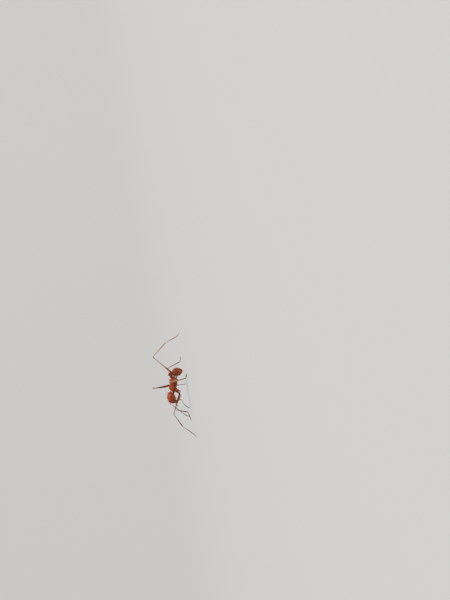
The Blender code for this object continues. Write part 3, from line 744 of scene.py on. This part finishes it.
# Thorax: three fused plates along one axis, with spines, and the neck
trunk = {
    "place": (-0.15, 0.0, 3.08), "pitch": 5.7, "roundness": 0.88, "neckLean": (0.75, 1.5, 0.5),
    "sides": 240, "seamHalf": 0.007,
    # each seam's station, its lean forward over the back, and how far it runs back on the flank
    "seams": {"end": (-1.8, 0.0, 0.0), "groove": (-0.31, -0.08, -0.05), "suture": (0.5, 0.04, 0.15),
              "neck": (2.13, 0.0, 0.0)},
    "plates": {"propodeum": ("end", "groove", 120), "mesothorax": ("groove", "suture", 76),
               "pronotum": ("suture", "neck", 132)},
    # station, top, bottom and half width
    "profile": (
        (-1.8, 0.14, -0.42, 0.28), (-1.5, 0.48, -0.6, 0.46), (-1.05, 0.7, -0.76, 0.6),
        (-0.6, 0.68, -0.84, 0.62), (-0.28, 0.56, -0.84, 0.6), (0.12, 0.86, -0.84, 0.66),
        (0.6, 0.92, -0.78, 0.79), (1.0, 0.74, -0.64, 0.86), (1.35, 0.4, -0.48, 0.6),
        (1.55, 0.16, -0.38, 0.32), (1.78, 0.12, -0.26, 0.19), (2.06, 0.11, -0.19, 0.15),
        (2.16, 0.1, -0.17, 0.13)),
    "spines": {"propodeum": ((-1.1, 0.28, 0.55), (-1.52, 0.5, 1.12), 0.15),
               "mesothorax": ((0.16, 0.28, 0.76), (0.14, 0.42, 1.18), 0.12),
               "pronotum": ((0.98, 0.62, 0.42), (1.12, 0.98, 0.86), 0.14)},
    # marks, ramps, bumps and noises, in rows like the head's
    "back": (1, 0, 0.3), "flank": (1, 0, 0.45), "keel": (0.046, 0.045, -1.5, 0.9, 0.2, 0.2),
    "keelOut": 0.27, "furrow": (-0.03, 0.1, -9, 0.7, 1, 0.3),
    "sideSeam": (-0.04, 0.035, -0.3, 0.5, 0.1, 0.1), "sideSlant": (0.18, 0.42, 0.5),
    "lowSeam": (-0.03, 0.04, -1.35, -0.35, 0.15, 0.1), "lowAt": 0.22,
    "collar": (-0.028, 0.045, -9, 0.2, 1, 0.2), "collarSlant": (0.98, 0.3),
    "hole": (0.03, 0, 0.032), "holeRim": (0.026, 0.06, 0.02), "holeAt": (-1.12, 0.05),
    "gland": (0.055, 0, 0.15), "glandAt": (-1.38, -0.34, 1.2), "glandFade": (1, 0, 0.3),
    "neckRings": ((0.008, 1.6, 0.014), (0.008, 1.68, 0.014), (0.008, 1.76, 0.014)),
    "rolled": (0.034, 0.024), "rolledTo": 1.4,
    "grain": (0.004, 0.06, 11), "wrinkles": (0.0085, (0.055, 0.08, 0.3), 17),
    # tones: painted light on the back, painted shade under the belly and at the neck under the head,
    # darker at the seams, and painted shade in hollows with painted highlight on ridges
    "tone": 0.54, "backPaintedLight": (0.16, 0, 0.8), "bellyPaintedShade": (0.14, 0, 0.6), "seamTone": (0.3, 0.035),
    "neckPaintedShade": (0.22, 1.5, 0.25), "hollowShadeRidgeLight": (2.6, -0.06, 0.05),
}
trunkTurn = turnMatrix(pitch=-trunk["pitch"])


def trunkToAnt(points):
    # from the thorax's own axes to the ant's
    return np.asarray(points, float) @ trunkTurn.T + np.asarray(trunk["place"])


def trunkSkin(station, around):
    # a boxy oval at each station, whose top, bottom and width run smoothly through the profile
    values = throughRows(trunk["profile"], station)
    top, bottom, half = values[..., 0], values[..., 1], values[..., 2]
    side, rise = np.cos(around), np.sin(around)
    power = trunk["roundness"]
    left = half * np.sign(side) * np.abs(side) ** power
    up = np.where(rise > 0, top, -bottom) * np.sign(rise) * np.abs(rise) ** power
    forward = station - up * ramp(trunk["neckLean"], station)
    return np.stack([forward, left, up], axis=-1)


def seamLine(name, around):
    # the station of a seam at each angle round the thorax
    station, lean, back = trunk["seams"][name]
    return station + lean * np.sin(around) - back * np.cos(around) ** 2


def trunkRelief(skin, first, last):
    # marks on the back and the flanks, breathing hole, gland, neck rings, noise and rolled edges
    forward, left, up = np.moveaxis(skin, -1, 0)
    aside = np.abs(left)
    back, flank = ramp(trunk["back"], up), ramp(trunk["flank"], aside)
    middle, slant, pivot = trunk["sideSlant"]
    station, lean = trunk["collarSlant"]
    fromHole = np.hypot(forward - trunk["holeAt"][0], up - trunk["holeAt"][1])
    out = back * (mark(trunk["keel"], aside - trunk["keelOut"], forward)
                  + mark(trunk["furrow"], aside, forward))
    out = out + flank * (mark(trunk["sideSeam"], up + middle + slant * (pivot - forward), forward)
                         + mark(trunk["lowSeam"], up + trunk["lowAt"], forward)
                         + mark(trunk["collar"], forward - station + lean * up, up)
                         + bump(trunk["holeRim"], fromHole) - bump(trunk["hole"], fromHole))
    glandAt, glandUp, squeeze = trunk["glandAt"]
    fromGland = np.hypot(forward - glandAt, (up - glandUp) * squeeze)
    out = out + bump(trunk["gland"], fromGland) * ramp(trunk["glandFade"], aside)
    edge = np.minimum(np.abs(forward - first), np.abs(forward - last))
    out = out - decay(trunk["rolled"], edge) * (forward < trunk["rolledTo"])
    out = out - sum(bump(ring, forward) for ring in trunk["neckRings"])
    return out + latticeNoise(skin, trunk["grain"]) + latticeNoise(skin, trunk["wrinkles"]) * flank


turnsRound = fullTurn(trunk["sides"])[None, :]
for plate, (rearSeam, frontSeam, rings) in trunk["plates"].items():
    rear = seamLine(rearSeam, turnsRound) + trunk["seamHalf"]
    front = seamLine(frontSeam, turnsRound) - trunk["seamHalf"]
    stations = rear + (front - rear) * np.linspace(0, 1, rings)[:, None]
    base = trunkSkin(stations, turnsRound)
    relief = trunkRelief(base, rear, front)
    edge = np.minimum(stations - rear, front - stations)
    up = base[..., 2]
    # painted light on the back, painted shade under the belly and at the neck under the head, and
    # painted shade and highlight from the relief
    tone = (trunk["tone"] + ramp(trunk["backPaintedLight"], up) - ramp(trunk["bellyPaintedShade"], -up)
            - decay(trunk["seamTone"], edge) - ramp(trunk["neckPaintedShade"], stations)
            + hollowShadeRidgeLight(trunk["hollowShadeRidgeLight"], relief))
    addPart(plate, "Plate", trunkToAnt(raised(base, relief)), tone, "bodyShell", "body_shell",
            spinePair(trunkToAnt, *trunk["spines"][plate]))
print("thorax made")

waist = {
    # each node's path in the middle plane as forward and up, and its half thickness and width
    "petiole": {"path": ((-2.07, 2.86), (-2.15, 3.02), (-2.24, 3.22), (-2.36, 3.33)),
                "half": ((0.17, 0.22), (0.26, 0.33), (0.35, 0.42), (0.2, 0.27)), "rings": 76},
    "postpetiole": {"path": ((-2.47, 3.38), (-2.6, 3.38), (-2.76, 3.31), (-2.88, 3.16), (-2.95, 3.0)),
                    "half": ((0.26, 0.3), (0.42, 0.52), (0.48, 0.62), (0.44, 0.58), (0.34, 0.44)),
                    "rings": 84},
    "sides": 132, "grain": (0.006, 0.075, 23), "bumps": (0.015, 0.22, 29), "dome": 0.2,
    "lean": (0.3, 0, 1.0), "tone": 0.56, "endTone": (0.3, 0.06),
}
for name in ("petiole", "postpetiole"):
    # ovals round the path, whose thickness and width run through the table
    node = waist[name]
    share = np.linspace(0, 1, node["rings"])
    keys = np.linspace(0, 1, len(node["path"]))
    forward, up, thick, wide = throughRows(np.column_stack([keys, node["path"], node["half"]]), share).T
    dome = (1 + roundOff(share, 1.0, waist["dome"])) / 2
    path = np.stack([forward, 0 * share, up], axis=1)
    base = tube(path, wide * dome, thick * dome, waist["sides"], waist["lean"])
    noise = latticeNoise(base, waist["grain"]) + latticeNoise(base, waist["bumps"])
    tone = waist["tone"] - decay(waist["endTone"], np.minimum(share, 1 - share))[:, None]
    addPart(name, "Node", raised(base, noise), tone, "bodyShell", "body_shell")
print("waist made")

gaster = {
    "top": (-3.02, 0.0, 2.98), "tip": (-3.2, 0.0, 0.42), "half": (0.98, 1.1),
    "shift": 0.9, "fullness": 0.62, "ends": (0.002, 0.998), "sides": 240,
    "grain": (0.0045, 0.07, 31), "dents": (0.009, 0.35, 37),
    # shares of the length where each plate begins and ends, and its rings
    "front": (0.0, 0.594, 150), "rear": ((0.58, 0.765, 52), (0.75, 0.885, 44), (0.872, 1.0, 44)),
    # how a plate that starts inside the last swells, its curled lip, and the seam on its side
    "inside": (0.03, 0, 0.35), "lip": (0.028, 0.006),
    "seam": (1, 0.42, 0.03), "seamFade": (1, 0, 0.1), "seamTo": 0.97, "seamDepth": 0.026,
    # tones: painted light on the back, darker on the side seam, paler lips, darker towards the tip and
    # at the root
    "tone": 0.52, "backPaintedLight": (0.14, 0, 1), "seamTone": 0.1, "lipTone": (0.2, 0.96, 0.05),
    "tipTone": (0.16, 0.85, 0.15), "rootTone": (0.2, 0, 0.05),
}


def gasterSkin(share, around, lip):
    # an egg round the line from top to tip: both half widths go with the sine of half a turn
    # times the share, each to a power, and with the lip factor of the plate
    top, tip = np.array(gaster["top"]), np.array(gaster["tip"])
    axis = unit(tip - top)
    across = np.array([-axis[2], 0.0, axis[0]])
    run = np.clip(share, *gaster["ends"]) ** gaster["shift"]
    size = np.sin(np.pi * run) ** gaster["fullness"] * lip
    fore, side = gaster["half"]
    return (top + (tip - top) * share[..., None] + (fore * size * np.sin(around))[..., None] * across
            + (side * size * np.cos(around))[..., None] * np.array([0, 1, 0]))


def gasterPlate(first, last, rings, startsInside):
    # the egg from first to last with its seam, fine grain and a curled lip; a plate that starts
    # inside the one before begins narrower and swells to its own width
    around = fullTurn(gaster["sides"])[None, :]
    share = np.linspace(first, last, rings)[:, None] + 0 * around
    run = (share - first) / (last - first)
    narrower = (gaster["inside"][0] - ramp(gaster["inside"], run)) * startsInside
    base = gasterSkin(share, around, 1 - narrower)
    seam = bump(gaster["seam"], np.sin(around)) * ramp(gaster["seamFade"], run)
    seam = seam * (share < gaster["seamTo"])
    relief = (latticeNoise(base, gaster["grain"]) + latticeNoise(base, gaster["dents"])
              - gaster["seamDepth"] * seam - decay(gaster["lip"], last - share) * (last < 1))
    # painted light on each plate's back
    tone = (gaster["tone"] + ramp(gaster["backPaintedLight"], -np.sin(around)) - gaster["seamTone"] * seam
            + bump(gaster["lipTone"], run) * (last < 1) - ramp(gaster["tipTone"], share)
            - bump(gaster["rootTone"], share))
    return raised(base, relief), tone


addPart("gaster_front", "Plate", *gasterPlate(*gaster["front"], False), "gasterShell", "gaster_shell")
rearShells = []
for count, rear in enumerate(gaster["rear"]):
    grid, tone = gasterPlate(*rear, True)
    grids["gaster_rear%d" % count] = grid
    rearShells.append(closedShell(grid, tone))
addShells("gasterRearPlates", rearShells, "gasterShell", ["gaster_rear"])
print("gaster made")

# Legs: lengths of femur, tibia and tarsus, then where each leg stands
legLengths = {"front": (5.7, 3.43, 3.73), "middle": (5.5, 3.9, 4.2), "hind": (7.05, 4.28, 3.57)}
legPlaces = {
    # hip, coxa end, femur heading and lift, foot, arch of the ankle, and how much paler than the
    # plain brown its femur, tibia and tarsus are: painted light on the lit near legs, and painted
    # shade on the far legs and on the near front tibia and tarsus
    "front_left": ((1.02, 0.46, 2.6), (1.95, 1.06, 1.75), 4.7, 23.1, (13.2, 1.2), 1,
                   (0.08, -0.14, -0.16)),
    "middle_left": ((-0.42, 0.58, 2.34), (-0.85, 1.15, 1.9), 62.5, 21.5, (2.5, 11.4), -1,
                    (0.16, 0.08, 0.0)),
    "hind_left": ((-1.17, 0.52, 2.4), (-1.5, 1.15, 1.95), 136.9, 40.1, (-10.1, 4.85), 1,
                  (0.2, 0.24, 0.14)),
    "front_right": ((1.02, -0.46, 2.6), (1.95, -1.0, 1.75), -79.1, 16.8, (4.0, -11.9), -1,
                    (-0.04, -0.12, -0.1)),
    "middle_right": ((-0.46, -0.59, 2.35), (-0.8, -1.15, 2.05), -93.4, 84.5, (-1.5, -3.6), 1,
                     (-0.08, -0.1, -0.1)),
    "hind_right": ((-1.12, -0.52, 2.36), (-1.45, -1.15, 1.95), -140.2, 12.3, (-11.1, -10.5), -1,
                   (-0.06, -0.08, -0.1)),
}
legJoints = {"hipLap": 0.16, "kneeLap": 0.06, "sole": 0.21, "toeRun": 0.7, "footRise": 0.075}
spur = {"back": 0.12, "length": 0.34, "drop": 0.16, "lowest": 0.03, "radius": 0.045}
claw = {"length": 0.24, "lap": 0.05, "spread": 0.11, "end": 0.012, "bendAt": 0.7, "bendSpread": 0.13,
        "bendRise": 0.05, "radius": 0.034, "taper": 0.8, "point": 0.003, "rings": 20, "sides": 12,
        "tone": (0.6, 0.5)}


def solveAnkle(knee, foot, tibia, tarsus, arch):
    # the corner of the triangle with those two sides on the line from knee to foot
    line = foot - knee
    reach = np.linalg.norm(line)
    way = line / reach
    along = (reach ** 2 + tibia ** 2 - tarsus ** 2) / (2 * reach)
    off = math.sqrt(max(tibia ** 2 - along ** 2, 0.0))
    return knee + way * along + unit(skyward - way * way[2]) * off * arch


def addLimb(kind, leg, start, end, pale=0.0, extras=()):
    # a straight or faintly bowed stalk between two places
    steep = abs(unit(end - start)[2]) > limbLook["steep"]
    path = straight(start, end, evenEnds(stalks[kind]["rings"]), stalks[kind]["bow"])
    addStalk(kind, leg, path, np.linalg.norm(end - start), pale,
             limbLook["steepLean"] if steep else skyward, extras)


def clawShell(toe, outward, across):
    # a hooked cone that spreads from its neighbour and comes down on the floor
    share = np.linspace(0, 1, claw["rings"])
    reach = outward * claw["length"]
    end = toe + reach + across * claw["spread"]
    end[2] = claw["end"]
    middle = toe + reach * claw["bendAt"] + across * claw["bendSpread"] + skyward * claw["bendRise"]
    radii = claw["radius"] * (1 - share) ** claw["taper"] + claw["point"]
    tone = (claw["tone"][0] - claw["tone"][1] * share)[:, None]
    return closedShell(tube(bezier(toe, middle, end, share), radii, sides=claw["sides"]), tone)


claws = []
for leg, (hip, coxaEnd, heading, lift, foot, arch, pale) in legPlaces.items():
    femurLength, tibiaLength, tarsusLength = legLengths[leg.split("_")[0]]
    h, v = math.radians(heading), math.radians(lift)
    hip, coxaEnd = np.array(hip), np.array(coxaEnd)
    headed = np.array([math.cos(h) * math.cos(v), math.sin(h) * math.cos(v), math.sin(v)])
    knee = coxaEnd + femurLength * headed
    toe = np.array([*foot, legJoints["sole"]])
    ankle = solveAnkle(knee, toe, tibiaLength, tarsusLength, arch)
    addLimb("coxa", leg, hip - legJoints["hipLap"] * unit(coxaEnd - hip), coxaEnd)
    lap = legJoints["kneeLap"] * unit(knee - coxaEnd)
    # each part gets the leg's paleness: painted light on the lit near legs, painted shade on the far
    # ones
    addLimb("femur", leg, coxaEnd - lap, knee + lap, pale[0])

    way = unit(ankle - knee)
    spurStart = ankle - way * spur["back"]
    spurEnd = spurStart + way * spur["length"] - skyward * spur["drop"]
    spurEnd[2] = max(spurEnd[2], spur["lowest"])
    addLimb("tibia", leg, knee - legJoints["kneeLap"] * way, ankle, pale[1],
            [spineShell(spurStart, spurEnd, spur["radius"])])

    outward = unit((toe - ankle) * (1, 1, 0))
    across = np.array([-outward[1], outward[0], 0.0])
    toeEnd, pull = toe - outward * (claw["length"] - claw["lap"]), toe - outward * legJoints["toeRun"]
    toeEnd[2] = pull[2] = legJoints["footRise"]
    path = bezier(ankle, pull, toeEnd, evenEnds(stalks["tarsus"]["rings"]))
    addStalk("tarsus", leg, path, tarsusLength, pale[2], across)
    claws += [clawShell(toeEnd, outward, across * side) for side in (1, -1)]
addShells("claws", claws, "jawShell")
print("legs made")

# Soft joints: a dark band under each seam of the thorax, and the three necks of the waist
soft = {
    "seams": ("groove", "suture"), "sunk": 0.955, "half": 0.05, "bandRings": 9, "bandTone": 0.16,
    # ends in the middle plane, radius across and over
    "necks": (((-1.86, 2.86), (-2.14, 2.96), 0.17, 0.13), ((-2.26, 3.28), (-2.56, 3.4), 0.19, 0.13),
              ((-2.88, 3.12), (-3.04, 2.8), 0.25, 0.2)),
    "rings": 30, "sides": 40, "round": 0.06, "tone": 0.2,
}
softShells = []
for seam in soft["seams"]:
    across = soft["half"] * np.linspace(-1, 1, soft["bandRings"])[:, None]
    stations = seamLine(seam, turnsRound) + across
    ring = trunkSkin(stations, turnsRound) * np.array([1, soft["sunk"], soft["sunk"]])
    softShells.append(closedShell(trunkToAnt(ring), soft["bandTone"]))
share = evenEnds(soft["rings"])
for (f0, u0), (f1, u1), wide, tall in soft["necks"]:
    path = straight(np.array([f0, 0, u0]), np.array([f1, 0, u1]), share)
    dome = roundOff(share, math.hypot(f1 - f0, u1 - u0), soft["round"])
    grid = tube(path, wide * dome, tall * dome, soft["sides"], waist["lean"])
    softShells.append(closedShell(grid, soft["tone"]))
addShells("softJoints", softShells, "bodyShell")
print("soft joints made")

# Hairs: each grows from a grid, leans back along it and curves over
hairs = {
    # surface: how many, length, thickness, how far it stands out
    "head": (420, 0.2, 0.0085, 0.85), "pronotum": (150, 0.24, 0.009, 0.95),
    "mesothorax": (90, 0.22, 0.009, 0.95), "propodeum": (130, 0.22, 0.009, 0.95),
    "petiole": (46, 0.18, 0.0085, 0.9), "postpetiole": (70, 0.2, 0.0085, 0.9),
    "gaster_front": (430, 0.23, 0.009, 0.8), "gaster_rear0": (110, 0.23, 0.009, 0.75),
    "gaster_rear1": (80, 0.24, 0.009, 0.75), "gaster_rear2": (60, 0.26, 0.009, 0.8),
    "mandible": (40, 0.12, 0.0065, 0.6), "scape": (120, 0.09, 0.0055, 0.6),
    "funiculus": (260, 0.06, 0.0045, 0.55), "coxa": (34, 0.16, 0.008, 0.8),
    "femur": (150, 0.15, 0.0065, 0.55), "tibia": (150, 0.14, 0.0065, 0.5),
    "tarsus": (190, 0.09, 0.0055, 0.5),
}
hairPieces = {
    "headHairs": (("head", "mandible"), "body_shell"),
    "feelerHairs": (("scape", "funiculus"), "limb_shell"),
    "thoraxHairs": (("pronotum", "mesothorax", "propodeum", "petiole", "postpetiole", "coxa"),
                    "body_shell"),
    "gasterHairs": (("gaster",), "body_shell"),
    "legHairs": (("femur", "tibia", "tarsus"), "limb_shell"),
}
growth = {
    # steps of an even two-way scatter, its start on each surface, and the margin at both ends
    "steps": (0.7548777, 0.5698403), "starts": (0.618, 0.381), "margin": 0.04,
    "lengths": (0.65, 0.7), "lengthSteps": (0.4142, 0.17), "buried": 0.012,
    # shares of the length at the rings and the tip, how it curves over, its taper, and radians
    "reach": (0.0, 0.4, 0.75, 1.0), "curl": 0.18, "sweep": 1.6, "taper": (1.0, 0.72, 0.4),
    "thirds": (0.0, 2.0944, 4.1888), "points": 10, "tones": (0.35, 0.8), "patch": (0.0015, 2.4),
}


def hairArrays(grid, seed, count, length, thickness, stand):
    # roots spread evenly over the grid; each hair is three rings of three points, and a tip
    rings, sides = grid.shape[:2]
    k = np.arange(count)
    starts, steps, margin = growth["starts"], growth["steps"], growth["margin"]
    u = (seed * starts[0] + k * steps[0]) % 1 * (1 - 2 * margin) + margin
    v = (seed * starts[1] + k * steps[1]) % 1
    i, j = (u * (rings - 1)).astype(int), (v * sides).astype(int) % sides
    normal = gridNormals(grid)[i, j]
    along = unit(np.gradient(grid, axis=0))[i, j]
    across = unit(np.cross(normal, along))
    (shortest, longer), (stepped, seeded) = growth["lengths"], growth["lengthSteps"]
    size = (length * (shortest + longer * ((k * stepped + seed * seeded) % 1)))[:, None, None]
    reach = np.array(growth["reach"])[None, :, None]
    path = ((grid[i, j] - normal * growth["buried"])[:, None]
            + normal[:, None] * size * stand * (reach - growth["curl"] * reach ** 2)
            + along[:, None] * size * np.sqrt(1 - stand ** 2) * reach ** growth["sweep"])
    angle = np.array(growth["thirds"])[None, None, :, None]
    width = thickness * np.array(growth["taper"])[None, :, None, None]
    ring = path[:, :3, None] + width * (np.cos(angle) * across[:, None, None]
                                       + np.sin(angle) * along[:, None, None])
    return np.concatenate([ring.reshape(count, 9, 3), path[:, 3:]], axis=1), np.stack([u, v], axis=1)


# the root's triangle, two triangles for each side between two rings, and three round the tip
sidePairs = [(n + a, n + b) for n in (0, 3) for a, b in ((0, 1), (1, 2), (2, 0))]
hairFaces = np.array([(1, 2, 0)] + [(b + 3, b, a) for a, b in sidePairs]
                     + [(a + 3, b + 3, a) for a, b in sidePairs] + [(9, 7, 6), (9, 8, 7), (9, 6, 8)])


def addHairs(name, families):
    # all the hairs of some surfaces; each surface has its square of the UV map, each hair a dot
    hosts = [host for host in grids if host.startswith(families)]
    columns = math.ceil(math.sqrt(len(hosts)))
    points, (dot, turn), margin = growth["points"], growth["patch"], growth["margin"]
    offset = np.array([[math.cos(i * turn), math.sin(i * turn)] for i in range(points)]) * dot
    places, faces, patches, total = [], [], [], 0
    for order, host in enumerate(hosts):
        count, *shape = next(hairs[family] for family in hairs if host.startswith(family))
        spots, root = hairArrays(grids[host], order + 1, count, *shape)
        corner = np.array([order % columns, order // columns])
        uv = (corner + margin + root * (1 - 2 * margin)) / columns
        patches.append((uv[:, None] + offset[None]).reshape(-1, 2))
        places.append(spots.reshape(-1, 3))
        first = total + points * np.arange(count)[:, None, None]
        faces.append((hairFaces + first).reshape(-1, 3))
        total += count * points
    faces = np.vstack(faces)
    tones = np.tile(np.linspace(*growth["tones"], points), total // points)
    piece = addPiece(name, np.vstack(places), faces.tolist(), tones, "hair")
    bake = piece.data.uv_layers.new(name="OFBake")
    bake.data.foreach_set("uv", np.vstack(patches)[faces.ravel()].astype(np.float32).ravel())
    print(name, "holds", total // points, "hairs")


for name, (families, slot) in hairPieces.items():
    addHairs(name, families)
print("hairs made")

# Stage, in metres: a round floor that curves up far from the ant, soft lights and the camera
stage = {"flat": 0.5, "edge": 1.5, "rise": 0.55, "rings": 60, "sides": 96, "pale": (0.8, 0.79, 0.77),
         "shade": 0.97, "patches": (0.4, 3.0), "rough": 0.8, "sway": 0.1}


def stageFloor():
    # flat out to its inner radius, then rising with the square of the way to its edge
    radius = np.linspace(0, 1, stage["rings"])[1:, None] * stage["edge"]
    angle = fullTurn(stage["sides"])[None, :]
    climb = np.clip((radius - stage["flat"]) / (stage["edge"] - stage["flat"]), 0, 1) ** 2
    height = stage["rise"] * climb + 0 * angle
    grid = np.stack([radius * np.cos(angle), radius * np.sin(angle), height], axis=-1)
    rings, sides = grid.shape[:2]
    index = np.arange(rings * sides).reshape(rings, sides)
    faces = gridQuads(index)[:, (0, 3, 2, 1)].tolist() + fan(index[0], rings * sides).tolist()
    mesh = bpy.data.meshes.new("studioFloor")
    mesh.from_pydata(grid.reshape(-1, 3).tolist() + [[0, 0, 0]], [], faces)
    mesh.shade_smooth()
    finish = Finish("studioPaper")
    grain = finish.noise(finish.objectPlace(), *stage["patches"])
    shaded = [c * stage["shade"] for c in stage["pale"]]
    finish.set({"Base Color": finish.mix(grain, (*stage["pale"], 1.0), (*shaded, 1.0)),
                "Roughness": grain * stage["sway"] + stage["rough"]})
    mesh.materials.append(finish.material)
    intoScene("studioFloor", mesh)


stageFloor()

lights = {
    # where it stands round the ant in metres, size, watts, colour
    "keyLight": ((0.95, 0.1, 1.15), 0.5, 29.0, (1.0, 0.965, 0.91)),
    "fillLight": ((0.85, -1.15, 0.55), 1.2, 5.0, (0.92, 0.96, 1.0)),
    "rimLight": ((-1.05, 0.95, 0.85), 0.7, 12.0, (1.0, 0.98, 0.95)),
}
room = {"Color": (0.9, 0.93, 1.0, 1.0), "Strength": 0.42}
for name, (place, size, power, colour) in lights.items():
    lamp = bpy.data.lights.new(name, "AREA")
    lamp.size, lamp.energy, lamp.color = size, power, colour
    holder = intoScene(name, lamp)
    holder.location = place
    holder.rotation_euler = (-Vector(place)).to_track_quat("-Z", "Y").to_euler()
sky = bpy.data.worlds.new("softRoom")
sky.use_nodes = True
for key, value in room.items():
    sky.node_tree.nodes["Background"].inputs[key].default_value = value
bpy.context.scene.world = sky

shot = {
    # the ant's left side, seen from a little ahead of it and a little above, head downwards
    "heading": 25.0, "lift": 3.5, "roll": 9.0, "distance": 400.0, "frameHeight": 130.2,
    "looksAt": (0.0, 0.0, 2.87), "offset": (-11.07, 18.6),  # right and down of the frame's middle
    "sensor": 36.0, "clip": (0.01, 20.0),
}


def placeCamera():
    # the view's right is the ant's down and its down is the ant's forward, then both are rolled
    h, v, r = (math.radians(shot[key]) for key in ("heading", "lift", "roll"))
    toViewer = np.array([math.sin(h) * math.cos(v), math.cos(h) * math.cos(v), math.sin(v)])
    forward = np.array([math.cos(h), -math.sin(h), 0.0])
    upward = np.array([-math.sin(h) * math.sin(v), -math.cos(h) * math.sin(v), math.cos(v)])
    right = math.sin(r) * forward - math.cos(r) * upward
    down = math.cos(r) * forward + math.sin(r) * upward
    aim = np.array(shot["looksAt"]) - shot["offset"][0] * right - shot["offset"][1] * down
    place = aim + shot["distance"] * toViewer
    origin = toWorld(np.zeros(3))
    axes = np.array([(toWorld(axis) - origin) / stance["metre"] for axis in (right, -down, toViewer)])
    data = bpy.data.cameras.new("mainCamera")
    data.sensor_width = shot["sensor"]
    data.lens = shot["sensor"] * shot["distance"] / shot["frameHeight"]
    data.clip_start, data.clip_end = shot["clip"]
    camera = intoScene("mainCamera", data)
    rows = [(*row, at) for row, at in zip(axes.T, toWorld(place))]
    camera.matrix_world = Matrix(rows + [(0, 0, 0, 1)])
    bpy.context.scene.camera = camera
    print("camera height above the floor in mm:", round(float(place[2]), 1))


placeCamera()
print("stage made")
